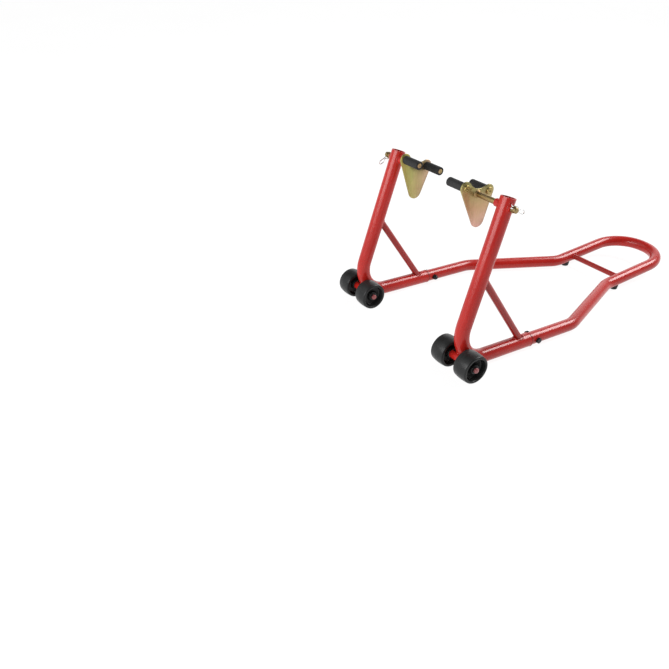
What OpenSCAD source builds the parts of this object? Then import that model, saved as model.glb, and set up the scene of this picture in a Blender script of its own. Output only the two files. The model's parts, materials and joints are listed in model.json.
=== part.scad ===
// Front paddock stand for a motorcycle: a U-shaped lever handle bolted to two bent legs on
// twin castor wheels, with a swinging, sliding fork adapter at the top of each leg.
// +X runs from the wheels to the end of the handle, +Y is the left side, +Z is up.
// The origin is on the floor, at the middle of the stand's length and width.

/* [Overall] */
// Length over the wheels and the handle's end
overall_length = 903; // [880:1:940]
// Distance between the centrelines of the two lower leg tubes
leg_spacing = 380; // [360:1:420]
// Height of the lower tubes' centreline above the floor
tube_z = 19.5; // [19:0.5:25]

/* [Leg] */
// Outer diameter of the leg tube
leg_od = 33; // [33:0.5:35.5]
// Wall of the leg tube
leg_wall = 2; // [1.5:0.25:2.5]
// Lean of the upright from the vertical, towards the handle
rake = 16; // [10:0.5:20]
// Lean of the upright towards the middle of the stand
splay = 1.2; // [0:0.1:2]
// Length of the upright from the heel's corner point to its open top
upright_length = 373.5; // [350:0.5:400]
// Centreline radius of the heel bend
heel_radius = 70; // [66:1:74]
// Distance of the heel's corner point behind the wheel axle
heel_back = 21; // [18:0.5:23]
// Distance from the wheel axle to the leg's end, where the handle starts
leg_reach = 208; // [204:1:230]
// Outer diameter of the diagonal brace
brace_od = 16; // [12:1:18]
// Distance of both ends of the brace from the heel's corner point
brace_reach = 208; // [190:1:212]

/* [Handle] */
// Outer diameter of the handle tube
handle_od = 30; // [28:0.5:31]
// Wall of the handle tube
handle_wall = 2; // [1.5:0.25:2]
// Distance from the wheel axle to the bend where the handle turns inwards
waist_start = 354; // [330:1:380]
// Distance from the wheel axle to the bend where the two sides run parallel again
waist_end = 602; // [580:1:620]
// Radius of those two bends
waist_radius = 75; // [60:1:90]
// Distance between the centrelines of the two grips, and twice the radius of the U end
grip_spacing = 172; // [150:1:190]
// Upward slope of the grips
grip_slope = 6.2; // [4:0.1:8]
// Diameter of the bar that joins the grips
crossbar_od = 14; // [10:1:16]
// Distance from the wheel axle to that bar
crossbar_reach = 658; // [650:1:700]
// Distance from the wheel axle to the rubber feet
foot_reach = 638; // [625:1:645]
// Diameter of a rubber foot at its top
foot_d = 23; // [20:0.5:26]

/* [Wheels] */
// Radius of the wheel, which is also the height of its axle
wheel_r = 33.5; // [33:0.5:38]
// Width of the wheel
wheel_w = 39; // [34:0.5:40]
// Clear distance between the two wheels on one leg
wheel_gap = 36.5; // [36.5:0.5:44]
// Diameter of the axle
axle_d = 10; // [8:0.5:12]
// Outer diameter of the axle tube welded across the heel
axle_tube_od = 18; // [16:0.5:20]

/* [Fork adapters] */
// Distance from the upright's top down to the adapter rod
rod_drop = 18.5; // [16:0.5:24]
// Diameter of the adapter rod
rod_d = 12; // [10:0.5:12]
// Outer diameter of the sleeve that guides the rod through the upright
sleeve_od = 17; // [16:0.5:20]
// Distance of the outer face of the plate from the middle of the stand
plate_y = 102; // [80:1:110]
// Thickness of the adapter plate
plate_t = 4; // [3:0.5:6]
// How far the left adapter is drawn out of its place nearest the middle
left_adapter_out = 8; // [0:0.5:40]
// Turn of the left adapter about its rod, away from hanging level
left_adapter_turn = 3.6; // [-4:0.2:4]
// The same for the right adapter
right_adapter_turn = -3.2; // [-4:0.2:4]
// Distance between the two cradle pins along the stand
pin_spacing = 62; // [56:1:70]
// Diameter of a cradle pin
pin_d = 11; // [9:0.5:12]
// Outer diameter of the rubber sleeve on a pin
pin_rubber_od = 19; // [16:0.5:20]
// Length of that sleeve
pin_rubber_length = 50; // [40:1:60]
// Free travel of the rod towards the middle of the stand
travel_in = 2.5; // [2:0.5:6]

/* [Hidden] */
$fn = 72;
EPS = 1;                     // overrun of a cutting tool past the face that it cuts
BEND_LAP = 0.1;              // the straights of a bent bar run this far into its bends
BEND_STEP = 0.04;            // and the bends are this much thinner than the straights
LEFT = 1;
RIGHT = -1;
OUTER = 1;
INNER = -1;
FRONT = 1;                   // towards the handle
REAR = -1;
RED = "#c4161c";
GOLD = "#b89a4a";
BLACK = "#1b1c1e";
STEEL = "#b9bcc0";

// Main stations along the stand
axle_x = wheel_r - overall_length / 2;
end_x = overall_length / 2 - handle_od / 2;
heel_x = axle_x - heel_back;
leg_end_x = axle_x + leg_reach;
waist_x1 = axle_x + waist_start;
waist_x2 = axle_x + waist_end;
crossbar_x = axle_x + crossbar_reach;
foot_x = axle_x + foot_reach;
leg_y = leg_spacing / 2;
grip_y = grip_spacing / 2;

// Leg, spigot and joint bolt
leg_id = leg_od - 2 * leg_wall;
handle_id = handle_od - 2 * handle_wall;
spigot_slip = 0.1;           // radial clearance of the spigot in the handle tube
spigot_in_leg = 35;
spigot_in_handle = 50;
spigot_wall = 3;
bolt_x = leg_end_x + 18.5;
bolt_d = 8;
bolt_head = 14.6;            // across corners
bolt_head_h = 5.3;
nut_h = 8;

// Wheels and axle
wheel_run = 0.05;            // radial clearance of a wheel on its axle
hub_w = wheel_w - 8;
hub_r = 10.5;
rim_r = 25.5;                // inner edge of the rim's side lip
web_w = 10;
tread_corner = 3;            // rounding between tread and side
tread_crown = 1.2;           // drop of the tread from its middle to that rounding
end_play = 0.4;              // gap at each side of a wheel hub
axle_z = wheel_r;
hub_out = wheel_gap / 2 + wheel_w / 2 + hub_w / 2;
hub_in = hub_out - hub_w;
axle_washer_t = 1.5;
axle_washer_od = 16.5;
cap_base = hub_out + end_play + axle_washer_t;
cap_h = 5;
cap_d = 12.5;

// Rubber feet
foot_h = 14;
foot_bottom_d = 20;
screw_d = 6;
screw_head_d = 10.5;
screw_head_h = 3;
foot_recess_h = 4.5;
screw_l = 18;                // under the head
hex_socket = 4.6;            // across corners
hex_socket_h = 1.8;
insert_d = 9;
insert_h = 12;

// Adapter: rod, sleeve, plate and pins
sleeve_run = 0.1;            // radial clearance of the rod in its sleeve
sleeve_in_y = 157;
sleeve_out_y = 202;
rod_washer_t = 1.2;
rod_washer_y = sleeve_out_y + travel_in + 0.3;
rod_washer_od = 15;
clip_wire = 2.2;
clip_turn = 32;              // the clip hangs this far below the horizontal
clip_y = rod_washer_y + rod_washer_t + clip_wire / 2 + 0.5;
rod_end_y = clip_y + 7;
ear_r = 13.5;
ear_tilt = 15.5;             // the ears' line drops this much towards the handle
ear_mid = [-0.9, 9.5];       // middle of that line, from the rod's axis
tip_r = 17;
tip_centre = [6.5, -58];
saddle_low = 1.5;            // lowest point of the saddle above the ears' line
pin_head_d = 14.5;
pin_head_h = 4;
pin_hole_play = 0.1;
pin_dimple_r = 1.8;          // shallow centre mark in a pin's head
pin_tip_y = plate_y - plate_t - pin_rubber_length;

// ---------- geometry helpers ----------

function unit(v) = v / norm(v);
function turn(p, i) = acos(unit(p[i] - p[i - 1]) * unit(p[i + 1] - p[i]));
function inner_point(p, i) = i > 0 && i < len(p) - 1;
// Length that a bend takes from the straight on each side of corner i
function setback(p, r, i) = inner_point(p, i) ? r[i] * tan(turn(p, i) / 2) : 0;
function arc(centre, r, from, to, steps) =
    [for (i = [0:steps]) let (a = from + (to - from) * i / steps) centre + r * [cos(a), sin(a)]];
function spin(v, a) = [v.x * cos(a) - v.y * sin(a), v.x * sin(a) + v.y * cos(a)];
function heading(v) = atan2(v.y, v.x);

// Puts children, which stand on z = 0, at a and points them at b
module along(a, b) {
    d = b - a;
    translate(a) rotate([0, acos(d.z / norm(d)), atan2(d.y, d.x)]) children();
}

module bar(a, b, d) {
    along(a, b) cylinder(d = d, h = norm(b - a));
}

module ring(od, id, h) {
    difference() {
        cylinder(d = od, h = h);
        translate([0, 0, -EPS]) cylinder(d = id, h = h + 2 * EPS);
    }
}

// One bend of a round bar, from direction u to direction v round the corner point
module elbow(corner, u, v, r, d) {
    angle = acos(u * v);
    n = unit(v - (u * v) * u);
    w = cross(u, n);
    o = corner - u * r * tan(angle / 2) + n * r;
    multmatrix([[-n.x, u.x, w.x, o.x], [-n.y, u.y, w.y, o.y], [-n.z, u.z, w.z, o.z], [0, 0, 0, 1]])
        rotate_extrude(angle = angle)
            translate([r, 0]) circle(d = d);
}

// A bent round bar through the corner points p with the bend radii r; each end runs on by extra
module bent_bar(p, r, d, extra = 0) {
    last = len(p) - 1;
    for (i = [0:last - 1]) {
        u = unit(p[i + 1] - p[i]);
        lap_start = i == 0 ? extra : BEND_LAP;
        lap_end = i == last - 1 ? extra : BEND_LAP;
        bar(p[i] + u * (setback(p, r, i) - lap_start), p[i + 1] - u * (setback(p, r, i + 1) - lap_end), d);
    }
    for (i = [1:last - 1])
        elbow(p[i], unit(p[i] - p[i - 1]), unit(p[i + 1] - p[i]), r[i], d - BEND_STEP);
}

module pipe(p, r, od, id) {
    difference() {
        bent_bar(p, r, od);
        bent_bar(p, r, id, EPS);
    }
}

// A cylinder along Y between two distances from the middle, on one side of the stand
module across(side, x, z, y1, y2, d) {
    bar([x, side * y1, z], [x, side * y2, z], d);
}

// Turns children drawn round +Z so that +Z points outwards on that side, from distance y
module outwards(side, x, z, y) {
    translate([x, side * y, z]) rotate([-side * 90, 0, 0]) children();
}

// ---------- frame positions ----------

function heel(side) = [heel_x, side * leg_y, tube_z];
function up(side) = [sin(rake), -side * cos(rake) * sin(splay), cos(rake) * cos(splay)];
function on_upright(side, distance) = heel(side) + distance * up(side);
function rod_point(side) = on_upright(side, upright_length - rod_drop);
rod_x = rod_point(LEFT).x;
rod_z = rod_point(LEFT).z;
function grip_z(x) = tube_z + (x - waist_x2) * tan(grip_slope);

function leg_path(side) =
    [on_upright(side, upright_length), heel(side), [leg_end_x, side * leg_y, tube_z]];
function handle_side(side) = [[leg_end_x, side * leg_y, tube_z], [waist_x1, side * leg_y, tube_z],
    [waist_x2, side * grip_y, tube_z], [end_x, side * grip_y, grip_z(end_x)]];
handle_path = concat(handle_side(LEFT), [for (i = [3:-1:0]) handle_side(RIGHT)[i]]);
end_radius = grip_y - 3;
handle_radii = [0, waist_radius, waist_radius, end_radius, end_radius, waist_radius, waist_radius, 0];

leg_radii = [0, heel_radius, 0];

module leg_envelope(side) {
    bent_bar(leg_path(side), leg_radii, leg_od);
}

module handle_envelope() {
    bent_bar(handle_path, handle_radii, handle_od);
}

// ---------- welded frame ----------

module handle_tube() {
    color(RED)
        difference() {
            pipe(handle_path, handle_radii, handle_od, handle_id);
            for (side = [LEFT, RIGHT]) {
                across(side, bolt_x, tube_z, leg_y - handle_od, leg_y + handle_od, bolt_d + 0.4);
                translate([foot_x, side * grip_y, 0]) cylinder(d = insert_d, h = grip_z(foot_x));
            }
        }
}

module handle_crossbar() {
    z = grip_z(crossbar_x);
    color(RED)
        difference() {
            bar([crossbar_x, -grip_y, z], [crossbar_x, grip_y, z], crossbar_od);
            handle_envelope();
        }
}

module leg_tube(side) {
    color(RED)
        difference() {
            pipe(leg_path(side), leg_radii, leg_od, leg_id);
            across(side, rod_x, rod_z, leg_y - leg_od, leg_y + leg_od, sleeve_od);
            across(side, axle_x, axle_z, leg_y - leg_od, leg_y + leg_od, axle_tube_od);
        }
}

module brace(side) {
    color(RED)
        difference() {
            bar(on_upright(side, brace_reach), heel(side) + [brace_reach, 0, 0], brace_od);
            leg_envelope(side);
        }
}

// Stepped tube welded into the leg's end; the handle tube slides over its thin part
module spigot(side) {
    start = [leg_end_x, side * leg_y, tube_z];
    slip_od = handle_id - 2 * spigot_slip;
    color(RED)
        difference() {
            union() {
                bar(start - [spigot_in_leg, 0, 0], start, leg_id);
                bar(start, start + [spigot_in_handle, 0, 0], slip_od);
            }
            bar(start - [spigot_in_leg + EPS, 0, 0], start + [spigot_in_handle + EPS, 0, 0],
                slip_od - 2 * spigot_wall);
            across(side, bolt_x, tube_z, leg_y - handle_od, leg_y + handle_od, bolt_d + 0.4);
        }
}

module rod_sleeve(side) {
    color(RED)
        outwards(side, rod_x, rod_z, sleeve_in_y)
            ring(sleeve_od, rod_d + 2 * sleeve_run, sleeve_out_y - sleeve_in_y);
}

module axle_tube(side) {
    half = hub_in - end_play;
    color(RED)
        outwards(side, axle_x, axle_z, leg_y - half) ring(axle_tube_od, axle_d, 2 * half);
}

// ---------- wheels and axles ----------

module axle(side) {
    half = cap_base + cap_h - 2;
    color(STEEL)
        outwards(side, axle_x, axle_z, leg_y - half) cylinder(d = axle_d, h = 2 * half);
}

// Runs children once for each end of each axle, with +Z pointing off that end
module each_axle_end(distance) {
    for (side = [LEFT, RIGHT], end = [OUTER, INNER])
        translate([axle_x, side * (leg_y + end * distance), axle_z])
            rotate([-side * end * 90, 0, 0])
                children();
}

module axle_washers() {
    color(BLACK) each_axle_end(hub_out + end_play) ring(axle_washer_od, axle_d, axle_washer_t);
}

// Domed push-on caps that keep the wheels on their axles
module axle_caps() {
    dome_r = cap_d / 2;
    color(RED)
        each_axle_end(cap_base)
            difference() {
                rotate_extrude()
                    polygon(concat([[0, 0], [dome_r, 0]],
                        [for (a = [0:10:90]) [dome_r * cos(a), 2 + (cap_h - 2) * sin(a)]]));
                translate([0, 0, -EPS]) cylinder(d = axle_d, h = cap_h - 2 + EPS);
            }
}

// Half of the wheel's section, from the bore out to the tread's middle; [radius, distance]
wheel_half = concat(
    [[axle_d / 2 + wheel_run, hub_w / 2], [hub_r - 1, hub_w / 2], [hub_r, hub_w / 2 - 1],
        [hub_r + 1, web_w / 2], [rim_r - 2, web_w / 2], [rim_r - 1, wheel_w / 2 - 1.5],
        [rim_r, wheel_w / 2]],
    [for (a = [90:-10:10]) [wheel_r - tread_crown - tread_corner * (1 - cos(a)),
        wheel_w / 2 - tread_corner * (1 - sin(a))]],
    [for (k = [1:-0.2:0]) [wheel_r - tread_crown * k * k, k * (wheel_w / 2 - tread_corner)]]);
wheel_section = concat(wheel_half,
    [for (i = [len(wheel_half) - 2:-1:0]) [wheel_half[i].x, -wheel_half[i].y]]);

module wheel(side, place) {
    y = leg_y + place * (wheel_gap + wheel_w) / 2;
    color(BLACK)
        outwards(side, axle_x, axle_z, y) rotate_extrude() polygon(wheel_section);
}

// ---------- handle joints and feet ----------

module hexagon(h) {
    cylinder(d = bolt_head, h = h, $fn = 6);
}

module joint_bolts() {
    reach = handle_od / 2;
    color(BLACK)
        for (side = [LEFT, RIGHT])
            outwards(side, bolt_x, tube_z, leg_y) {
                translate([0, 0, -reach - nut_h - 3]) cylinder(d = bolt_d, h = 2 * reach + nut_h + 3);
                translate([0, 0, reach]) hexagon(bolt_head_h);
            }
}

module joint_nuts() {
    top = -handle_od / 2;
    color(BLACK)
        for (side = [LEFT, RIGHT])
            outwards(side, bolt_x, tube_z, leg_y)
                translate([0, 0, top - nut_h])
                    difference() {
                        union() {
                            cylinder(d = bolt_head - 2.2, h = nut_h);
                            translate([0, 0, 2]) hexagon(nut_h - 2);
                        }
                        translate([0, 0, -EPS]) cylinder(d = bolt_d, h = nut_h + 2 * EPS);
                    }
}

module foot(side) {
    color(BLACK)
        difference() {
            translate([foot_x, side * grip_y, 0])
                rotate_extrude()
                    polygon([[screw_d / 2 + 0.2, foot_recess_h], [screw_head_d / 2 + 0.8, foot_recess_h],
                        [screw_head_d / 2 + 0.8, 0], [foot_bottom_d / 2 - 1, 0],
                        [foot_bottom_d / 2, 1], [foot_d / 2, foot_h - 3], [foot_d / 2 - 1, foot_h],
                        [screw_d / 2 + 0.2, foot_h]]);
            handle_envelope();
        }
}

// Threaded inserts set in the underside of the handle tube
module foot_inserts() {
    wall_z = grip_z(foot_x) - handle_od / 2;
    color(STEEL)
        for (side = [LEFT, RIGHT])
            translate([foot_x, side * grip_y, wall_z + 0.6]) ring(insert_d, screw_d, insert_h);
}

module foot_screws() {
    base = foot_recess_h - screw_head_h;
    color(BLACK)
        for (side = [LEFT, RIGHT])
            translate([foot_x, side * grip_y, base])
                difference() {
                    union() {
                        cylinder(d = screw_head_d, h = screw_head_h);
                        cylinder(d = screw_d, h = screw_l);
                    }
                    translate([0, 0, -EPS]) cylinder(d = hex_socket, h = EPS + hex_socket_h, $fn = 6);
                }
}

// ---------- fork adapters ----------

// Plate outline in the plane of the plate: x along the stand, y up, from the rod's axis
half_ears = [pin_spacing / 2 / cos(ear_tilt), 0];
front_ear = ear_mid + spin(half_ears, -ear_tilt);
rear_ear = ear_mid - spin(half_ears, -ear_tilt);
// The saddle's arc touches both ears and passes saddle_low above their line
saddle_r = (half_ears.x ^ 2 + saddle_low ^ 2 - ear_r ^ 2) / (2 * (ear_r - saddle_low));
saddle_centre = ear_mid + spin([0, saddle_r + saddle_low], -ear_tilt);
// Direction of the point where the outer tangent from circle a to circle b touches both
function tangent(a, ra, b, rb) = heading(b - a) - acos((ra - rb) / norm(b - a));
tip_to_front = tangent(tip_centre, tip_r, front_ear, ear_r);
rear_to_tip = tangent(rear_ear, ear_r, tip_centre, tip_r);
plate_outline = concat(
    arc(tip_centre, tip_r, rear_to_tip, tip_to_front, 16),
    arc(front_ear, ear_r, tip_to_front, heading(saddle_centre - front_ear), 18),
    arc(saddle_centre, saddle_r, heading(front_ear - saddle_centre),
        heading(rear_ear - saddle_centre), 12),
    arc(rear_ear, ear_r, heading(saddle_centre - rear_ear), rear_to_tip + 360, 18));

function ear(place) = place == FRONT ? front_ear : rear_ear;
function ear_x(place) = rod_x + ear(place).x;
function ear_z(place) = rod_z + ear(place).y;

// Moves and turns children to where that side's adapter rests
module posed(side) {
    out = side == LEFT ? left_adapter_out : 0;
    angle = side == LEFT ? left_adapter_turn : right_adapter_turn;
    translate([rod_x, out, rod_z])
        rotate([0, angle, 0])
            translate([-rod_x, 0, -rod_z])
                children();
}

module adapter_plate(side) {
    color(GOLD)
        difference() {
            translate([rod_x, side * plate_y, rod_z])
                rotate([90, 0, 0])
                    translate([0, 0, side > 0 ? 0 : -plate_t])
                        linear_extrude(plate_t) polygon(plate_outline);
            for (place = [FRONT, REAR])
                across(side, ear_x(place), ear_z(place), plate_y - 2 * plate_t, plate_y + plate_t,
                    pin_d + 2 * pin_hole_play);
        }
}

module adapter_rod(side) {
    chamfer = 1.2;
    length = rod_end_y - plate_y;
    color(GOLD)
        difference() {
            outwards(side, rod_x, rod_z, plate_y)
                rotate_extrude()
                    polygon([[0, 0], [rod_d / 2, 0], [rod_d / 2, length - chamfer],
                        [rod_d / 2 - chamfer, length], [0, length]]);
            translate([rod_x, side * clip_y, rod_z])
                rotate([0, -side * clip_turn, 0])
                    translate([-rod_d, 0, 0])
                        rotate([0, 90, 0]) cylinder(d = clip_wire + 0.6, h = 2 * rod_d);
        }
}

module rod_washer(side) {
    color(GOLD)
        outwards(side, rod_x, rod_z, rod_washer_y) ring(rod_washer_od, rod_d + 2 * sleeve_run, rod_washer_t);
}

// A headed pin through the plate, pointing towards the middle of the stand
module cradle_pin(side, place) {
    reach = plate_y - pin_tip_y;
    color(GOLD)
        translate([ear_x(place), side * pin_tip_y, ear_z(place)])
            rotate([-side * 90, 0, 0])
                rotate_extrude()
                    polygon([[0, 0], [pin_d / 2 - 0.8, 0], [pin_d / 2, 0.8], [pin_d / 2, reach],
                        [pin_head_d / 2, reach], [pin_head_d / 2, reach + pin_head_h - 1],
                        [pin_head_d / 2 - 1, reach + pin_head_h],
                        [pin_dimple_r + 0.8, reach + pin_head_h],
                        [pin_dimple_r, reach + pin_head_h - 1], [0, reach + pin_head_h - 1]]);
}

module pin_rubber(side, place) {
    round = 1.5;
    length = pin_rubber_length;
    color(BLACK)
        translate([ear_x(place), side * pin_tip_y, ear_z(place)])
            rotate([-side * 90, 0, 0])
                rotate_extrude()
                    polygon(concat([[pin_d / 2, 0]],
                        arc([pin_rubber_od / 2 - round, round], round, -90, 0, 6),
                        [[pin_rubber_od / 2, length], [pin_d / 2, length]]));
}

// Spring clip of bent wire: a straight leg through the rod and a shaped leg over it
clip_path = [[-13, 0], [30, 0], [30, 8], [19, 8], [14, 3.4], [9.8, 3.4], [7, 8.2], [-6.4, 8.2],
    [-9.4, 3], [-14.5, 6.5]];
clip_radii = [0, 3.9, 3.9, 3, 2.5, 2.2, 2.5, 2.5, 1.8, 0];

module r_clip(side) {
    color(STEEL)
        translate([rod_x, side * clip_y, rod_z])
            rotate([0, side > 0 ? 180 - clip_turn : clip_turn, 0])
                bent_bar([for (p = clip_path) [p.x, 0, p.y]], clip_radii, clip_wire);
}

// ---------- output ----------

handle_tube();
handle_crossbar();
leg_tube(LEFT);  // leg_tube_left
leg_tube(RIGHT);  // leg_tube_right
brace(LEFT);  // brace_left
brace(RIGHT);  // brace_right
spigot(LEFT);  // spigot_left
spigot(RIGHT);  // spigot_right
rod_sleeve(LEFT);  // rod_sleeve_left
rod_sleeve(RIGHT);  // rod_sleeve_right
axle_tube(LEFT);  // axle_tube_left
axle_tube(RIGHT);  // axle_tube_right
axle(LEFT);  // axle_left
axle(RIGHT);  // axle_right
axle_washers();
axle_caps();
joint_bolts();
joint_nuts();
foot(LEFT);  // foot_left
foot(RIGHT);  // foot_right
foot_inserts();
foot_screws();
wheel(LEFT, OUTER);  // wheel_left_outer
wheel(LEFT, INNER);  // wheel_left_inner
wheel(RIGHT, OUTER);  // wheel_right_outer
wheel(RIGHT, INNER);  // wheel_right_inner
posed(LEFT) rod_washer(LEFT);  // rod_washer_left
posed(RIGHT) rod_washer(RIGHT);  // rod_washer_right
posed(LEFT) adapter_rod(LEFT);  // adapter_rod_left
posed(RIGHT) adapter_rod(RIGHT);  // adapter_rod_right
posed(LEFT) adapter_plate(LEFT);  // adapter_plate_left
posed(RIGHT) adapter_plate(RIGHT);  // adapter_plate_right
posed(LEFT) cradle_pin(LEFT, FRONT);  // cradle_pin_left_front
posed(LEFT) cradle_pin(LEFT, REAR);  // cradle_pin_left_rear
posed(RIGHT) cradle_pin(RIGHT, FRONT);  // cradle_pin_right_front
posed(RIGHT) cradle_pin(RIGHT, REAR);  // cradle_pin_right_rear
posed(LEFT) pin_rubber(LEFT, FRONT);  // pin_rubber_left_front
posed(LEFT) pin_rubber(LEFT, REAR);  // pin_rubber_left_rear
posed(RIGHT) pin_rubber(RIGHT, FRONT);  // pin_rubber_right_front
posed(RIGHT) pin_rubber(RIGHT, REAR);  // pin_rubber_right_rear
posed(LEFT) r_clip(LEFT);  // r_clip_left
posed(RIGHT) r_clip(RIGHT);  // r_clip_right
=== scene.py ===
"""Looks of the front paddock stand: materials, weld beads and small parts round the CAD frame."""
import math
import random

import bpy
import bmesh
from mathutils import Matrix, Vector
from mathutils.bvhtree import BVHTree
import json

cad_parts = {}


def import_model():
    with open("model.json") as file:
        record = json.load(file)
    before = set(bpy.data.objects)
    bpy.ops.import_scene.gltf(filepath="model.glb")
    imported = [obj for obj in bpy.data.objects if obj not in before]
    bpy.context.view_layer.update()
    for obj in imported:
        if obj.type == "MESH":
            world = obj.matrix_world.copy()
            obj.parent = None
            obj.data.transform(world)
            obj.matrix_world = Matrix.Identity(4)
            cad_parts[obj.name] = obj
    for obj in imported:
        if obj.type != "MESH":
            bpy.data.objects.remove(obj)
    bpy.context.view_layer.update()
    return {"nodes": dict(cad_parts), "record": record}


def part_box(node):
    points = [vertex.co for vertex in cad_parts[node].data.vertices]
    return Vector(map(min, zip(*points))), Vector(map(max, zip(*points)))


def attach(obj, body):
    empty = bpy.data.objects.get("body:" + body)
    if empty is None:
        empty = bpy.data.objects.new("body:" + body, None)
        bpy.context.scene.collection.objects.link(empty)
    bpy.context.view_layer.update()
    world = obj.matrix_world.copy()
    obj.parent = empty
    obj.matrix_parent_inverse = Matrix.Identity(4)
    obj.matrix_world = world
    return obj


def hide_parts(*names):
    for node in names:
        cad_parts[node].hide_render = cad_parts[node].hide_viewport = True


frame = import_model()
RECORD = frame["record"]
MM = 0.001
SIDES = (("left", 1), ("right", -1))


# ---------- places that come from the CAD ----------

def centre(node):
    lo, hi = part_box(node)
    return (Vector(lo) + Vector(hi)) / 2


def extent(node):
    lo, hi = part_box(node)
    return Vector(hi) - Vector(lo)


def span_of(node, axis):
    """An axis with the node's lowest and highest place along it."""
    lo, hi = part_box(node)
    i = "XYZ".index(axis)
    return axis, lo[i], hi[i]


def joint(name):
    return next(j for j in RECORD["behaviour"]["joints"] if j["name"] == name)


# ---------- materials ----------

class Shader:
    """A node material built from short calls. Positions are the object's own, in metres."""

    def __init__(self, name):
        self.mat = bpy.data.materials.new(name)
        self.mat.use_nodes = True
        self.nodes = self.mat.node_tree.nodes
        self.links = self.mat.node_tree.links
        self.bsdf = next(n for n in self.nodes if n.type == "BSDF_PRINCIPLED")
        self.place = self.nodes.new("ShaderNodeTexCoord").outputs["Object"]

    def set(self, **values):
        for key, value in values.items():
            self.bsdf.inputs[key.replace("_", " ")].default_value = value

    def feed(self, socket, value):
        if hasattr(value, "is_output"):
            self.links.new(value, socket)
        else:
            socket.default_value = value

    def noise(self, scale, detail=3, rough=0.55, distort=0.0, stretch=None):
        """Soft noise from 0 to 1; scale is in features per metre."""
        node = self.nodes.new("ShaderNodeTexNoise")
        node.inputs["Scale"].default_value = scale
        node.inputs["Detail"].default_value = detail
        node.inputs["Roughness"].default_value = rough
        node.inputs["Distortion"].default_value = distort
        place = self.place
        if stretch:
            place = self.mapped(stretch)
        self.links.new(place, node.inputs["Vector"])
        return node.outputs["Fac"]

    def mapped(self, stretch):
        node = self.nodes.new("ShaderNodeMapping")
        node.inputs["Scale"].default_value = stretch
        self.links.new(self.place, node.inputs["Vector"])
        return node.outputs["Vector"]

    def cells(self, scale):
        node = self.nodes.new("ShaderNodeTexVoronoi")
        node.inputs["Scale"].default_value = scale
        self.links.new(self.place, node.inputs["Vector"])
        return node.outputs["Distance"]

    def ramp(self, value, stops):
        """Maps a 0..1 value through (position, colour or grey) stops."""
        node = self.nodes.new("ShaderNodeValToRGB")
        ramp = node.color_ramp
        while len(ramp.elements) < len(stops):
            ramp.elements.new(0.5)
        for element, (pos, colour) in zip(ramp.elements, stops):
            element.position = pos
            if not isinstance(colour, tuple):
                colour = (colour, colour, colour)
            element.color = (*colour, 1)
        self.links.new(value, node.inputs["Fac"])
        return node.outputs["Color"]

    def mix(self, fac, a, b, mode="MIX"):
        node = self.nodes.new("ShaderNodeMix")
        node.data_type = "RGBA"
        node.blend_type = mode
        self.feed(node.inputs["Factor"], fac)
        for socket, value in ((node.inputs["A"], a), (node.inputs["B"], b)):
            if isinstance(value, tuple):
                value = (*value, 1)
            self.feed(socket, value)
        return node.outputs["Result"]

    def math(self, op, a, b=0.0):
        node = self.nodes.new("ShaderNodeMath")
        node.operation = op
        self.feed(node.inputs[0], a)
        self.feed(node.inputs[1], b)
        return node.outputs[0]

    def axis(self, name):
        node = self.nodes.new("ShaderNodeSeparateXYZ")
        self.links.new(self.place, node.inputs[0])
        return node.outputs[name]

    def span(self, value, low, high):
        """0 below low, 1 above high, or the other way round."""
        node = self.nodes.new("ShaderNodeMapRange")
        node.inputs["From Min"].default_value = low
        node.inputs["From Max"].default_value = high
        self.links.new(value, node.inputs["Value"])
        return node.outputs["Result"]

    def colour(self, value):
        self.feed(self.bsdf.inputs["Base Color"], value)

    def roughness(self, value, low, high):
        node = self.nodes.new("ShaderNodeMapRange")
        node.inputs["To Min"].default_value = low
        node.inputs["To Max"].default_value = high
        self.links.new(value, node.inputs["Value"])
        self.links.new(node.outputs[0], self.bsdf.inputs["Roughness"])

    def bump(self, *layers):
        """Layers of (height 0..1, depth in metres), one on top of the other."""
        normal = None
        for height, depth in layers:
            node = self.nodes.new("ShaderNodeBump")
            node.inputs["Strength"].default_value = 1.0
            node.inputs["Distance"].default_value = depth
            self.links.new(height, node.inputs["Height"])
            if normal:
                self.links.new(normal, node.inputs["Normal"])
            normal = node.outputs["Normal"]
        self.links.new(normal, self.bsdf.inputs["Normal"])


def red_paint(name="red_powder_coat", tone_of=(0.365, 0.010, 0.007), seam=None):
    """Gloss powder coat: soft orange peel, faint mottling, a few specks of dust, and painted shade as a
    dark band at the seam.
    """
    s = Shader(name)
    s.set(Metallic=0.0, Coat_Weight=0.34, Coat_Roughness=0.19, IOR=1.5, Specular_IOR_Level=0.19)
    light = tuple(c * k for c, k in zip(tone_of, (1.18, 1.7, 1.7)))
    tone = s.ramp(s.noise(9, 3), [(0.3, tone_of), (0.7, light)])
    fine = s.ramp(s.noise(260, 2), [(0.35, 0.94), (0.65, 1.0)])
    base = s.mix(1.0, tone, fine, "MULTIPLY")
    specks = s.ramp(s.cells(420), [(0.045, 1.0), (0.07, 0.0)])
    patchy = s.ramp(s.noise(30, 2), [(0.55, 0.0), (0.62, 0.5)])
    coat = s.mix(s.math("MULTIPLY", specks, patchy), base, (0.48, 0.09, 0.08))
    if seam:
        # A dark band across the tube at the seam: painted shade where the two tubes meet.
        start, end = seam
        near = s.math("ABSOLUTE", s.math("SUBTRACT", s.axis("X"), (start + end) / 2))
        seam_shade = s.span(near, (end - start) / 2, (end - start) / 2 - 0.8 * MM)
        coat = s.mix(seam_shade, coat, (0.11, 0.008, 0.009))
    s.colour(coat)
    s.roughness(s.noise(55, 4), 0.23, 0.33)
    s.bump((s.noise(420, 2), 0.000012), (s.noise(70, 1), 0.00004))
    return s.mat


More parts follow.
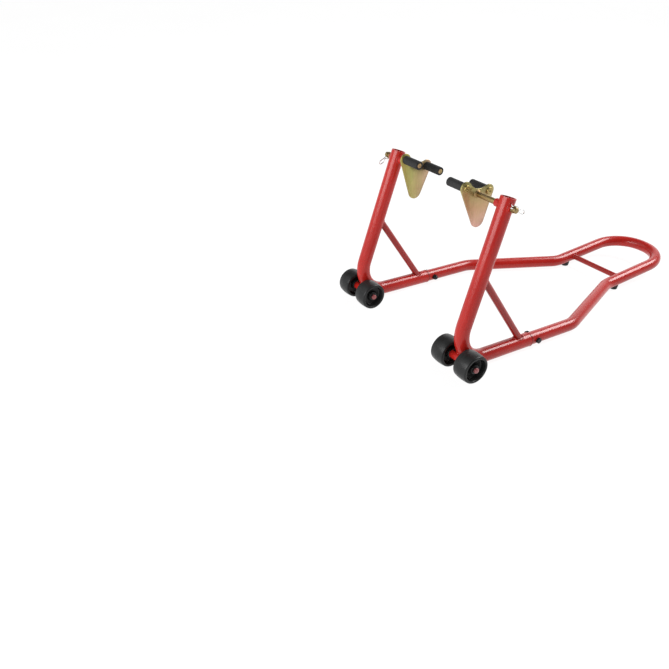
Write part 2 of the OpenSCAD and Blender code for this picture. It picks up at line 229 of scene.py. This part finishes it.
def weld_paint():
    """The same coat over a weld: rougher, with lumps and a darker line."""
    s = Shader("red_powder_coat_weld")
    s.set(Metallic=0.0, Coat_Weight=0.15, Coat_Roughness=0.14, IOR=1.5, Specular_IOR_Level=0.3)
    s.colour(s.ramp(s.noise(240, 3), [(0.3, (0.24, 0.008, 0.006)), (0.7, (0.40, 0.018, 0.013))]))
    s.roughness(s.noise(200, 3), 0.24, 0.42)
    s.bump((s.noise(900, 3), 0.00012),)
    return s.mat


def yellow_zinc(name="yellow_zinc_plate", tints=None, along=None):
    """Passivated zinc: olive gold that drifts to pink and green, with rolled steel under it."""
    s = Shader(name)
    s.set(Metallic=1.0, IOR=1.5)
    drift = s.noise(13, 2, 0.5, 0.6)
    # A drift along an axis, used for the plates: partly the zinc's passivation colours, partly painted
    # reflection.
    if along:
        axis, low, high = along
        drift = s.mix(0.3, s.span(s.axis(axis), low, high), drift)
    tints = tints or [(0.30, (0.40, 0.35, 0.125)), (0.44, (0.44, 0.34, 0.14)),
                      (0.56, (0.46, 0.30, 0.17)), (0.70, (0.42, 0.37, 0.15))]
    film = s.ramp(s.noise(60, 4, 0.6, 1.2), [(0.35, (0.90, 0.93, 0.86)), (0.65, (1.0, 0.97, 0.98))])
    tone = s.mix(1.0, s.ramp(drift, tints), film, "MULTIPLY")
    grain = s.ramp(s.noise(500, 2, 0.5, 0.0, (1.0, 1.0, 0.06)), [(0.4, 0.9), (0.6, 1.0)])
    s.colour(s.mix(1.0, tone, grain, "MULTIPLY"))
    s.roughness(s.noise(90, 4), 0.30, 0.50)
    s.bump((s.noise(650, 3, 0.6, 0.0, (1.0, 1.0, 0.15)), 0.00002), (s.noise(150, 2), 0.00003))
    return s.mat


def wheel_plastic():
    """Charcoal nylon: fine spark texture, scuffed and dusty on the tread."""
    s = Shader("wheel_nylon")
    s.set(Metallic=0.0, IOR=1.46, Specular_IOR_Level=0.27)
    tone = s.ramp(s.noise(60, 3), [(0.35, (0.010, 0.0105, 0.0105)), (0.65, (0.016, 0.0165, 0.017))])
    scuff = s.ramp(s.noise(150, 5, 0.7, 0.3, (1.0, 0.18, 1.0)), [(0.58, 0.0), (0.74, 0.25)])
    s.colour(s.mix(scuff, tone, (0.050, 0.050, 0.049)))
    s.roughness(s.noise(120, 4), 0.27, 0.40)
    s.bump((s.noise(1500, 2), 0.00003), (s.noise(250, 3), 0.00003))
    return s.mat


def black_rubber():
    """Matt extruded rubber, a little grey from handling."""
    s = Shader("black_rubber")
    s.set(Metallic=0.0, IOR=1.5, Specular_IOR_Level=0.35)
    tone = s.ramp(s.noise(90, 4), [(0.3, (0.008, 0.008, 0.0085)), (0.7, (0.015, 0.015, 0.016))])
    bloom = s.ramp(s.noise(28, 3), [(0.5, 0.0), (0.75, 0.35)])
    s.colour(s.mix(bloom, tone, (0.030, 0.030, 0.030)))
    s.roughness(s.noise(200, 3), 0.55, 0.78)
    s.bump((s.noise(1300, 3), 0.00004), (s.noise(300, 2, 0.5, 0.0, (1.0, 0.1, 1.0)), 0.00004))
    return s.mat


def black_steel():
    """Black-oxide fasteners with an oily sheen, rubbed brighter in places."""
    s = Shader("black_oxide_steel")
    s.set(Metallic=0.85, IOR=1.5)
    worn = s.ramp(s.noise(320, 4, 0.65), [(0.58, 0.0), (0.75, 0.6)])
    s.colour(s.mix(worn, (0.030, 0.030, 0.033), (0.16, 0.155, 0.15)))
    s.roughness(s.noise(260, 3), 0.26, 0.46)
    s.bump((s.noise(1100, 3), 0.00003),)
    return s.mat


def bright_steel():
    """Plain drawn steel with light scratches."""
    s = Shader("bright_steel")
    s.set(Metallic=1.0, IOR=1.5)
    s.colour(s.ramp(s.noise(140, 4), [(0.3, (0.70, 0.70, 0.69)), (0.7, (0.86, 0.86, 0.85))]))
    s.roughness(s.noise(300, 4), 0.30, 0.46)
    s.bump((s.noise(1600, 2), 0.00002),)
    return s.mat


MATS = {
    "red_paint": red_paint(),
    "yellow_zinc": yellow_zinc(),
    "wheel_plastic": wheel_plastic(),
    "black_rubber": black_rubber(),
    "black_steel": black_steel(),
    "bright_steel": bright_steel(),
}
WELD = weld_paint()

# Materials that belong to one node only; the rest take the one of the record's slot
OWN = {
    # The plates' tints drift from end to end across each plate: partly passivation colour, partly painted
    # reflection.
    "adapter_plate_right": yellow_zinc(
        "yellow_zinc_olive_to_pink",
        [(0.16, (0.74, 0.45, 0.38)), (0.48, (0.56, 0.36, 0.21)), (0.70, (0.50, 0.42, 0.19)),
         (0.84, (0.26, 0.24, 0.09))],
        span_of("adapter_plate_right", "Z")),
    "adapter_plate_left": yellow_zinc(
        "yellow_zinc_green_to_pink",
        [(0.20, (0.42, 0.37, 0.11)), (0.45, (0.48, 0.44, 0.17)), (0.58, (0.50, 0.39, 0.19)),
         (0.80, (0.57, 0.38, 0.27))],
        span_of("adapter_plate_left", "X")),
}
# A darker copy of the red coat on the braces and the crossbar: painted shade.
RED_PAINTED_SHADE = red_paint("red_powder_coat_shaded", (0.27, 0.009, 0.007))
# A paler, pinker copy of the red coat on the axle caps: painted sheen.
RED_CAPS_PAINTED_SHEEN = red_paint("red_powder_coat_painted_sheen", (0.26, 0.058, 0.060))
for node in ("brace_left", "brace_right", "handle_crossbar"):
    OWN[node] = RED_PAINTED_SHADE
# The seam where the handle tube leaves the leg tubes; the dark band painted there is painted shade
joint_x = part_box("handle_tube")[0][0]
for node in ("leg_tube_left", "leg_tube_right"):
    OWN[node] = red_paint(f"red_powder_coat_{node}", seam=(joint_x - 1.0 * MM, joint_x + 1.0 * MM))
rod_zinc = yellow_zinc(
    "yellow_zinc_rod",
    [(0.30, (0.33, 0.26, 0.11)), (0.50, (0.37, 0.25, 0.13)), (0.70, (0.32, 0.27, 0.12))])
OWN["adapter_rod_left"] = OWN["adapter_rod_right"] = rod_zinc
OWN["handle_tube"] = red_paint("red_powder_coat_handle", seam=(joint_x - 1.0 * MM, joint_x + 3.4 * MM))

for entry in RECORD["subparts"]:
    node = frame["nodes"][entry["node"]]
    node.data.materials.clear()
    node.data.materials.append(OWN.get(entry["node"]) or MATS[entry["material_slot"]])


# ---------- mesh helpers ----------

def piece(name, mesh, material, body, sharp):
    """Turns a bmesh into an object that rides on a body and takes the given material."""
    data = bpy.data.meshes.new(name)
    bmesh.ops.recalc_face_normals(mesh, faces=mesh.faces)
    for face in mesh.faces:
        face.smooth = True
    for edge in mesh.edges:
        if len(edge.link_faces) == 2 and edge.calc_face_angle() > math.radians(sharp):
            edge.smooth = False
    mesh.to_mesh(data)
    mesh.free()
    obj = bpy.data.objects.new(name, data)
    bpy.context.scene.collection.objects.link(obj)
    data.materials.append(material)
    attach(obj, body)
    return obj


def mm(points):
    """Pairs of millimetres in metres."""
    return [(a * MM, b * MM) for a, b in points]


def circle(steps):
    """Evenly spaced angles of a full turn."""
    return [2 * math.pi * k / steps for k in range(steps)]


def lathe(mesh, profile, origin, axis, steps):
    """Spins a closed (radius, height) profile round an axis through origin."""
    axis = axis.normalized()
    side = axis.orthogonal().normalized()
    third = axis.cross(side)
    rings = []
    for a in circle(steps):
        out = side * math.cos(a) + third * math.sin(a)
        rings.append([mesh.verts.new(origin + axis * h + out * r) for r, h in profile])
    count = len(profile)
    for k in range(steps):
        a, b = rings[k], rings[(k + 1) % steps]
        for i in range(count):
            j = (i + 1) % count
            mesh.faces.new((a[i], b[i], b[j], a[j]))


def tree_of(node):
    """A ray-cast tree of a CAD node."""
    mesh = frame["nodes"][node].data
    faces = [list(p.vertices) for p in mesh.polygons]
    return BVHTree.FromPolygons([v.co.copy() for v in mesh.vertices], faces)


def sweep(mesh, points, radii, ups, steps=10, flatness=0.8):
    """A closed bead through a closed ring of points; ups point away from the corner it fills."""
    n = len(points)
    rings = []
    for i in range(n):
        along = (points[(i + 1) % n] - points[i - 1]).normalized()
        up = (ups[i] - along * ups[i].dot(along)).normalized()
        side = along.cross(up)
        ring = []
        for a in circle(steps):
            out = up * math.sin(a) * flatness + side * math.cos(a)
            ring.append(mesh.verts.new(points[i] + out * radii[i]))
        rings.append(ring)
    for i in range(n):
        a, b = rings[i], rings[(i + 1) % n]
        for k in range(steps):
            j = (k + 1) % steps
            mesh.faces.new((a[k], a[j], b[j], b[k]))


def weld(name, start, direction, radius, target, size, gap=0.3 * MM, pitch=2.6 * MM, steps=160):
    """A rippled bead where a round bar, leaving start along direction, meets the target node's mesh."""
    tree = tree_of(target)
    direction = direction.normalized()
    side = direction.orthogonal().normalized()
    third = direction.cross(side)
    hits, ups = [], []
    for a in circle(steps):
        out = side * math.cos(a) + third * math.sin(a)
        hit, normal, _, _ = tree.ray_cast(start + out * (radius + gap), direction)
        if hit is None:
            continue
        if normal.dot(direction) > 0:
            normal = -normal
        hits.append(hit)
        ups.append((normal + out).normalized())
    total = sum((hits[i] - hits[i - 1]).length for i in range(len(hits)))
    ripples = max(6, round(total / pitch))
    run, radii = 0.0, []
    jitter = [rng.uniform(0.88, 1.12) for _ in range(ripples + 1)]
    for i in range(len(hits)):
        run += (hits[i] - hits[i - 1]).length if i else 0.0
        phase = run / total * ripples
        scallop = 0.88 + 0.12 * abs(math.cos(math.pi * phase))
        a = jitter[int(phase) % ripples]
        b = jitter[(int(phase) + 1) % ripples]
        swell = a + (b - a) * (phase % 1)
        radii.append(size * scallop * swell)
    mesh = bmesh.new()
    sweep(mesh, hits, radii, ups)
    piece(name, mesh, WELD, "frame", sharp=80)


# ---------- weld beads ----------

rng = random.Random(7)


def mean(points):
    return sum(points, Vector()) / len(points)


def brace_welds(side):
    """Beads at both ends of the slanting brace."""
    verts = [v.co for v in frame["nodes"][f"brace_{side}"].data.vertices]
    middle = mean(verts)
    top = mean([v for v in verts if v.z > middle.z])
    foot = mean([v for v in verts if v.z <= middle.z])
    radius = extent(f"brace_{side}").y / 2
    for end, way in (("top", top - foot), ("low", foot - top)):
        weld(f"weld_brace_{end}_{side}", (top + foot) / 2, way, radius, f"leg_tube_{side}", 1.8 * MM)


def cross_welds(name, node, side, s, start, size):
    """Beads on both sides of the leg round a tube that crosses it; start is past the tube's ends."""
    radius = extent(node).x / 2
    for end, sign in (("outer", 1), ("inner", -1)):
        out = Vector((0, s * sign, 0))
        weld(f"{name}_{end}_{side}", centre(node) + out * start, -out, radius, f"leg_tube_{side}", size)


def seam_ring(side):
    """The swaged lip at the mouth of the leg tube, where the handle tube starts."""
    axis = Vector((joint_x, centre(f"axle_tube_{side}").y, centre("joint_bolts").z))
    verts = [v.co for v in frame["nodes"][f"leg_tube_{side}"].data.vertices]
    rim = [v for v in verts if abs(v.x - joint_x) < 0.1 * MM]
    radius = max(math.hypot(v.y - axis.y, v.z - axis.z) for v in rim) / MM
    lip = [(-1.2, -0.1), (-1.2, 0.25), (0, 0.3), (0.45, 0.0), (0.6, -0.6), (0.5, -1.3), (0.1, -1.9),
           (-0.3, -2.0), (-0.3, -0.1)]
    mesh = bmesh.new()
    lathe(mesh, mm([(radius + r, h) for r, h in lip]), axis, Vector((1, 0, 0)), 96)
    piece(f"leg_lip_{side}", mesh, WELD, "frame", sharp=50)


for side, s in SIDES:
    brace_welds(side)
    cross_welds("weld_sleeve", f"rod_sleeve_{side}", side, s, 60 * MM, 2.0 * MM)
    cross_welds("weld_heel", f"axle_tube_{side}", side, s, 40 * MM, 2.2 * MM)

for side, s in SIDES:
    seam_ring(side)
    weld(f"weld_crossbar_{side}", centre("handle_crossbar"), Vector((0, s, 0)),
         extent("handle_crossbar").x / 2, "handle_tube", 2.1 * MM)


# ---------- wheels ----------

def wheel(node):
    """A moulded wheel: crowned tread with a parting line, rolled rim lips and a deep web round the hub."""
    radius = extent(node).z / 2 / MM
    half = extent(node).y / 2 / MM
    bore, hub, lip = 5.05, 10.5, 26.5          # radii of the bore, the hub and the rim's inner edge
    hub_half, web = half - 4.0, 5.0            # half thickness of the hub and of the web
    corner, crown = 3.4, 1.2                   # radius of the tread's edge, rise of the tread
    side = [(bore, hub_half - 0.5), (bore + 0.5, hub_half), (7.3, hub_half), (7.5, hub_half - 0.35),
            (8.3, hub_half - 0.35), (8.5, hub_half), (hub - 0.8, hub_half), (hub, hub_half - 0.8),
            (hub + 0.7, web + 2.5), (hub + 2.4, web + 0.4), (hub + 4.5, web), (lip - 5.5, web),
            (lip - 3.0, web + 0.6), (lip - 1.6, web + 3.0), (lip - 0.8, half - 2.4),
            (lip - 0.3, half - 0.7), (lip + 0.5, half)]
    edge = radius - crown - corner
    flat = half - corner
    side.append((edge - 0.6, half))
    for degrees in range(10, 91, 10):
        a = math.radians(degrees)
        side.append((edge + corner * math.sin(a), flat + corner * math.cos(a)))
    side += [(radius - crown * k * k, k * flat) for k in (0.85, 0.7, 0.55, 0.4, 0.25, 0.12, 0.04)]
    side += [(radius, 0.45), (radius, 0.28), (radius - 0.12, 0.2)]
    profile = side + [(r, -h) for r, h in reversed(side)]
    mesh = bmesh.new()
    lathe(mesh, mm(profile), centre(node), Vector((0, 1, 0)), 128)
    obj = piece(f"{node}_moulded", mesh, MATS["wheel_plastic"], node, sharp=50)
    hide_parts(node)


for side, s in SIDES:
    for place in ("outer", "inner"):
        wheel(f"wheel_{side}_{place}")


def axle_caps():
    """Pressed red caps on the axle ends, domed, with a turned-in rim."""
    profile = [(5.0, 0.0), (6.0, 0.0), (6.25, 0.25), (6.25, 2.0), (6.05, 2.9), (5.4, 3.8), (4.2, 4.5),
               (2.6, 4.9), (0.01, 5.0), (0.01, 3.6), (5.0, 3.2)]
    sunk = 2.1 * MM                            # the cap's rim lies this far inside the wheel's face
    axle = centre("axle_right")
    mesh = bmesh.new()
    for side, s in SIDES:
        for place, e in (("outer", 1), ("inner", -1)):
            wheel_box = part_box(f"wheel_{side}_{place}")
            out = s * e
            face = wheel_box[1][1] if out > 0 else wheel_box[0][1]
            origin = Vector((axle.x, face - out * sunk, axle.z))
            lathe(mesh, mm(profile), origin, Vector((0, out, 0)), 48)
    obj = piece("axle_caps_domed", mesh, RED_CAPS_PAINTED_SHEEN, "frame", sharp=35)
    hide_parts("axle_caps")


axle_caps()


# ---------- bolts and nuts of the handle joints ----------

def ring_of(mesh, origin, axis, points):
    """A ring of (angle, radius, height) points round an axis that lies along Y."""
    side = Vector((0, 0, 1))
    third = axis.cross(side)
    ring = []
    for a, r, h in points:
        ring.append(mesh.verts.new(origin + axis * h + (side * math.cos(a) + third * math.sin(a)) * r))
    return ring


def bridge(mesh, a, b):
    """A band of faces between two closed rings."""
    n = len(a)
    for i in range(n):
        j = (i + 1) % n
        mesh.faces.new((a[i], a[j], b[j], b[i]))


def hexagon(mesh, origin, axis, low, high, flats, chamfers=(False, True), steps=72):
    """A hexagonal prism with true conical chamfers; distances in millimetres along axis."""
    apothem = flats / 2
    flat_r = apothem * 0.96
    slope = math.tan(math.radians(30))
    angles = circle(steps)

    def reach(a):
        return apothem / math.cos((a % math.radians(60)) - math.radians(30))

    def outer(z, sign, cut):
        return [(a, reach(a) * MM, (z - sign * (reach(a) - flat_r) * slope * cut) * MM) for a in angles]

    def inner(z, cut):
        return [(a, (flat_r if cut else apothem * 0.6) * MM, z * MM) for a in angles]

    levels = (inner(low, chamfers[0]), outer(low, -1, chamfers[0]),
              outer(high, 1, chamfers[1]), inner(high, chamfers[1]))
    rings = [ring_of(mesh, origin, axis, points) for points in levels]
    for a, b in zip(rings, rings[1:]):
        bridge(mesh, a, b)
    mesh.faces.new(rings[0][::-1])
    mesh.faces.new(rings[-1])


def thread(mesh, origin, axis, low, high, radius, pitch=1.25, depth=0.55, steps=36):
    """A right-hand screw thread as one surface, closed by flat ends, with a pointed tip."""
    tip, tip_cut = 0.8, 0.9
    levels = max(2, round((high - low) / pitch * 8))
    rings = []
    for k in range(levels + 1):
        h = low + (high - low) * k / levels
        end = min(1.0, (high - h) / tip)
        points = []
        for i, a in enumerate(circle(steps)):
            tooth = abs(2 * ((h / pitch - i / steps) % 1) - 1)
            r = radius - depth * tooth - tip_cut * (1 - end)
            points.append((a, r * MM, h * MM))
        rings.append(ring_of(mesh, origin, axis, points))
    for a, b in zip(rings, rings[1:]):
        bridge(mesh, a, b)
    mesh.faces.new(rings[0][::-1])
    mesh.faces.new(rings[-1])


def joint_hardware():
    """Hexagon bolts with a washer face, and lock nuts with a nylon collar on the inner side."""
    tube_r, flats, shank_r = 15.0, 12.6, 4.0
    washer = [(0.01, 0.0), (6.1, 0.0), (6.1, 0.45), (0.01, 0.45)]
    collar = [(4.1, 5.9), (5.7, 5.9), (5.7, 7.0), (5.4, 7.7), (4.8, 8.0), (4.1, 8.0)]
    bolts, nuts = bmesh.new(), bmesh.new()
    mid = centre("joint_bolts")
    for side, s in SIDES:
        axis = Vector((0, s, 0))
        seat = Vector((mid.x, centre(f"axle_tube_{side}").y, mid.z))
        hexagon(bolts, seat, axis, tube_r + 0.4, tube_r + 5.3, flats)
        lathe(bolts, mm([(r, tube_r + h) for r, h in washer]), seat, axis, 48)
        thread(bolts, seat, -axis, -tube_r, tube_r + 11.0, shank_r)
        hexagon(nuts, seat, -axis, tube_r, tube_r + 6.0, flats, (True, True))
        lathe(nuts, mm([(r, tube_r + h) for r, h in collar]), seat, -axis, 48)
    for mesh, name, node in ((bolts, "joint_bolts_threaded", "joint_bolts"),
                             (nuts, "joint_nuts_locking", "joint_nuts")):
        obj = piece(name, mesh, MATS["black_steel"], "frame", sharp=25)
        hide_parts(node)


joint_hardware()


# ---------- fork adapters ----------

def plate_outline(side):
    """The plate's outer edge in turning order, read off its face without the pins' holes."""
    node = f"adapter_plate_{side}"
    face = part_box(node)[1][1]
    hole_r = 8 * MM
    ears = [centre(f"cradle_pin_{side}_{place}") for place in ("front", "rear")]
    rod = Vector(joint(f"adapter_{side}_swing")["pos_m"])
    inside = Vector((rod.x, 0, rod.z - 5 * MM))
    points = set()
    for v in frame["nodes"][node].data.vertices:
        on_face = abs(v.co.y - face) <= 0.1 * MM
        if on_face and all(math.hypot(v.co.x - e.x, v.co.z - e.z) >= hole_r for e in ears):
            points.add((round(v.co.x, 6), round(v.co.z, 6)))
    return sorted(points, key=lambda p: math.atan2(p[1] - inside.z, p[0] - inside.x))


def plate(side):
    """The stamped plate, with the rolled edge of a die-cut blank."""
    node = f"adapter_plate_{side}"
    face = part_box(node)[1][1]
    thick = extent(node).y / MM
    outline = plate_outline(side)
    n = len(outline)
    normals = []
    for i in range(n):
        (ax, az), (bx, bz) = outline[i - 1], outline[(i + 1) % n]
        along = Vector((bx - ax, bz - az)).normalized()
        normals.append(Vector((along.y, -along.x)))
    mesh = bmesh.new()
    rings = []
    for inset, depth in mm([(0.8, 0.0), (0.42, 0.08), (0.12, 0.36), (0.0, 0.8),
                            (0.0, thick - 0.5), (0.07, thick - 0.2), (0.3, thick)]):
        rings.append([mesh.verts.new((x - normal.x * inset, face - depth, z - normal.y * inset))
                      for (x, z), normal in zip(outline, normals)])
    for a, b in zip(rings, rings[1:]):
        bridge(mesh, a, b)
    mesh.faces.new(rings[0])
    mesh.faces.new(rings[-1][::-1])
    bmesh.ops.triangulate(mesh, faces=[f for f in mesh.faces if len(f.verts) > 4], ngon_method="EAR_CLIP")
    obj = piece(f"{node}_stamped", mesh, OWN[node], f"adapter_{side}", sharp=50)
    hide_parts(node)


def inner_end(node, s):
    """The point of the node's axis, along Y, that is nearest to the middle of the stand."""
    lo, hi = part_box(node)
    mid = centre(node)
    return Vector((mid.x, lo[1] if s > 0 else hi[1], mid.z))


PIN_R = 5.5


def pin(node, side, s):
    """A headed cradle pin, dimpled at its tip and riveted over at its head."""
    shank = extent(node).y / MM - 4.0
    tip = [(0.01, 0.5), (1.6, 0.5), (2.1, 0.0), (4.5, 0.0), (5.1, 0.25), (PIN_R, 0.9), (PIN_R, shank)]
    head = [(7.25, 0), (7.25, 2.8), (7.0, 3.5), (6.4, 3.9), (5.8, 4.0), (2.9, 4.0), (2.3, 3.7), (1.4, 2.6),
            (0.01, 2.3)]
    mesh = bmesh.new()
    lathe(mesh, mm(tip + [(r, shank + h) for r, h in head]), inner_end(node, s), Vector((0, s, 0)), 64)
    obj = piece(f"{node}_turned", mesh, MATS["yellow_zinc"], f"adapter_{side}", sharp=50)
    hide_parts(node)


def rubber(node, side, s):
    """A rubber sleeve with rounded ends and a slightly wavy skin."""
    length = extent(node).y / MM
    radius = extent(node).z / 2 / MM
    profile = [(PIN_R, 0.35), (5.9, 0.0), (radius - 1.5, 0.0), (radius - 0.75, 0.2), (radius - 0.2, 0.75),
               (radius, 1.5)]
    waves = 12
    for k in range(1, waves):
        h = 1.5 + (length - 2.3) * k / waves
        profile.append((radius - 0.06 * (1 + math.sin(k * 2.1)), h))
    profile += [(radius, length - 0.8), (radius - 0.25, length - 0.2), (radius - 0.7, length),
                (PIN_R, length)]
    mesh = bmesh.new()
    lathe(mesh, mm(profile), inner_end(node, s), Vector((0, s, 0)), 64)
    obj = piece(f"{node}_moulded", mesh, MATS["black_rubber"], f"adapter_{side}", sharp=50)
    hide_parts(node)


def bent(points, radii, steps=8):
    """Points along a polyline whose corners are rounded."""
    out = [Vector(points[0])]
    for i in range(1, len(points) - 1):
        p = Vector(points[i])
        a = (Vector(points[i - 1]) - p).normalized()
        b = (Vector(points[i + 1]) - p).normalized()
        half = a.angle(b) / 2
        r = radii[i]
        back = r / math.tan(half)
        mid = p + (a + b).normalized() * (r / math.sin(half))
        start = p + a * back - mid
        end = p + b * back - mid
        for k in range(steps + 1):
            t = k / steps
            out.append(mid + (start * (1 - t) + end * t).normalized() * r)
    out.append(Vector(points[-1]))
    return out


def wire(mesh, path, radius, normal, steps=14):
    """A round wire along an open flat path, with domed ends."""
    dome = ((0.0, 0.25), (0.2, 0.65), (0.55, 0.93))     # (way in from the end, thickness) by radius
    first = (path[1] - path[0]).normalized()
    last = (path[-1] - path[-2]).normalized()
    stations = [(path[0] + first * radius * back, first, scale) for back, scale in dome]
    for i in range(1, len(path) - 1):
        stations.append((path[i], (path[i + 1] - path[i - 1]).normalized(), 1.0))
    stations += [(path[-1] - last * radius * back, last, scale) for back, scale in reversed(dome)]
    rings = []
    for place, along, scale in stations:
        side = along.cross(normal).normalized()
        ring = []
        for a in circle(steps):
            out = side * math.cos(a) + normal * math.sin(a)
            ring.append(mesh.verts.new(place + out * radius * scale))
        rings.append(ring)
    for a, b in zip(rings, rings[1:]):
        bridge(mesh, a, b)
    mesh.faces.new(rings[0][::-1])
    mesh.faces.new(rings[-1])


def r_clip(side, s):
    """The spring clip's wire, smooth round each bend."""
    node = f"r_clip_{side}"
    rod = Vector(joint(f"adapter_{side}_swing")["pos_m"])
    y = centre(node).y
    # The clip's own angle in its rod, and how far its adapter is turned where it rests
    turn = math.radians(180 - 32 + 3.6 if s > 0 else 32 - 3.2)
    path = [(-13, 0), (30, 0), (30, 8), (19, 8), (14, 3.4), (9.8, 3.4), (7, 8.2), (-6.4, 8.2), (-9.4, 3),
            (-14.5, 6.5)]
    radii = [0, 3.9, 3.9, 3, 2.5, 2.2, 2.5, 2.5, 1.8, 0]
    flat = bent([(x, z, 0) for x, z in mm(path)], [r * MM for r in radii])
    points = []
    for p in flat:
        x = p.x * math.cos(turn) + p.y * math.sin(turn)
        z = p.y * math.cos(turn) - p.x * math.sin(turn)
        points.append(Vector((rod.x + x, y, rod.z + z)))
    mesh = bmesh.new()
    wire(mesh, points, 1.1 * MM, Vector((0, 1, 0)))
    obj = piece(f"{node}_wire", mesh, MATS["bright_steel"], f"adapter_{side}", sharp=60)
    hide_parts(node)


def zinc_weld(side, s):
    """The plated fillet where the rod is welded to its plate, low enough to clear the sleeve."""
    root = inner_end(f"adapter_rod_{side}", s)
    rod_r = 6.0
    profile = ((5.6, 0.0), (9.2, 0.0), (8.8, 0.6), (7.8, 1.2), (6.9, 1.7), (6.2, 2.3), (5.6, 2.5))
    mesh = bmesh.new()
    rings = []
    for a in circle(90):
        ripple = 0.9 + 0.1 * abs(math.cos(a * 9)) + 0.06 * math.sin(a * 2 + 1)
        out = Vector((math.cos(a), 0, math.sin(a)))
        ring = []
        for r, h in profile:
            reach = rod_r + (r - rod_r) * ripple if r > rod_r else r
            ring.append(mesh.verts.new(root + Vector((0, s * h * ripple * MM, 0)) + out * reach * MM))
        rings.append(ring)
    for a, b in zip(rings, rings[1:] + rings[:1]):
        bridge(mesh, a, b)
    piece(f"weld_rod_{side}", mesh, MATS["yellow_zinc"], f"adapter_{side}", sharp=50)


for side, s in SIDES:
    plate(side)
    for place in ("front", "rear"):
        pin(f"cradle_pin_{side}_{place}", side, s)
        rubber(f"pin_rubber_{side}_{place}", side, s)
    r_clip(side, s)
    zinc_weld(side, s)


# ---------- studio ----------

def floor():
    """A wide pale ground, just under the wheels, bright enough to show almost no shadow."""
    mesh = bmesh.new()
    size, drop = 30.0, 0.2 * MM
    verts = [mesh.verts.new((x * size, y * size, -drop)) for x, y in ((-1, -1), (1, -1), (1, 1), (-1, 1))]
    mesh.faces.new(verts)
    data = bpy.data.meshes.new("floor")
    mesh.to_mesh(data)
    mesh.free()
    obj = bpy.data.objects.new("floor", data)
    bpy.context.scene.collection.objects.link(obj)
    s = Shader("studio_floor")
    s.set(Roughness=0.9, Specular_IOR_Level=0.1, Emission_Color=(1, 1, 1, 1), Emission_Strength=0.93)
    s.colour(s.ramp(s.noise(1.2, 2), [(0.3, 0.11), (0.7, 0.13)]))
    data.materials.append(s.mat)


def area_light(name, place, target, size, power):
    data = bpy.data.lights.new(name, "AREA")
    data.shape = "RECTANGLE"
    data.size, data.size_y = size
    data.energy = power
    obj = bpy.data.objects.new(name, data)
    obj.location = place
    obj.rotation_euler = (Vector(target) - Vector(place)).to_track_quat("-Z", "Y").to_euler()
    bpy.context.scene.collection.objects.link(obj)


def world():
    """A white sweep under a dim ceiling, darker behind the camera, with two soft glows on the far side."""
    w = bpy.data.worlds.new("studio")
    w.use_nodes = True
    nodes, links = w.node_tree.nodes, w.node_tree.links
    place = nodes.new("ShaderNodeTexCoord").outputs["Generated"]

    def towards(direction, low, high, start, end):
        """Goes from start to end as the sky turns from low to high towards the direction."""
        facing = nodes.new("ShaderNodeVectorMath")
        facing.operation = "DOT_PRODUCT"
        facing.inputs[1].default_value = direction
        span = nodes.new("ShaderNodeMapRange")
        span.interpolation_type = "SMOOTHSTEP"
        for socket, value in (("From Min", low), ("From Max", high), ("To Min", start), ("To Max", end)):
            span.inputs[socket].default_value = value
        links.new(place, facing.inputs[0])
        links.new(facing.outputs["Value"], span.inputs["Value"])
        return span.outputs["Result"]

    def combine(mode, a, b):
        node = nodes.new("ShaderNodeMath")
        node.operation = mode
        links.new(a, node.inputs[0])
        links.new(b, node.inputs[1])
        return node.outputs[0]

    ceiling = towards((0, 0, 1), 0.0, 0.6, 0.75, 0.18)
    behind = towards((-0.62, -0.78, 0.05), 0.1, 0.9, 1.0, 0.25)
    glow_right = towards((0.72, 0.58, 0.38), 0.88, 0.98, 0.0, 1.0)
    glow_left = towards((-0.66, 0.48, 0.58), 0.88, 0.98, 0.0, 0.9)
    glow = combine("ADD", glow_right, glow_left)
    sky = combine("ADD", combine("MULTIPLY", ceiling, behind), glow)
    links.new(sky, nodes["Background"].inputs["Color"])
    bpy.context.scene.world = w


floor()
world()
area_light("overhead", (2.9, -0.7, 3.4), (0.0, -0.1, 0.03), (2.3, 2.1), 215)
area_light("side", (-2.5, -0.15, 0.95), (-0.35, -0.1, 0.22), (2.2, 1.1), 50)
bpy.context.scene.view_settings.view_transform = "Standard"


# ---------- camera ----------

def camera():
    """Stands where the solved viewpoint is: beyond the wheels, on the right, looking down at 31 degrees."""
    axle = centre("axle_right")
    yaw, pitch, roll = math.radians(32.19), math.radians(30.71), math.radians(1.48)
    ahead = Vector((math.sin(yaw) * math.cos(pitch), math.cos(yaw) * math.cos(pitch), -math.sin(pitch)))
    right = Vector((math.cos(yaw), -math.sin(yaw), 0))
    up = right.cross(ahead)
    cam_right = right * math.cos(roll) + up * math.sin(roll)
    cam_up = up * math.cos(roll) - right * math.sin(roll)
    data = bpy.data.cameras.new("camera")
    data.sensor_width = 36.0
    data.lens = 36.74
    data.clip_end = 50
    obj = bpy.data.objects.new("camera", data)
    turn = Matrix((cam_right, cam_up, -ahead)).transposed()
    place = Vector((axle.x - 0.8894, -1.0983, 0.8225))
    obj.matrix_world = Matrix.Translation(place) @ turn.to_4x4()
    bpy.context.scene.collection.objects.link(obj)
    bpy.context.scene.camera = obj


camera()
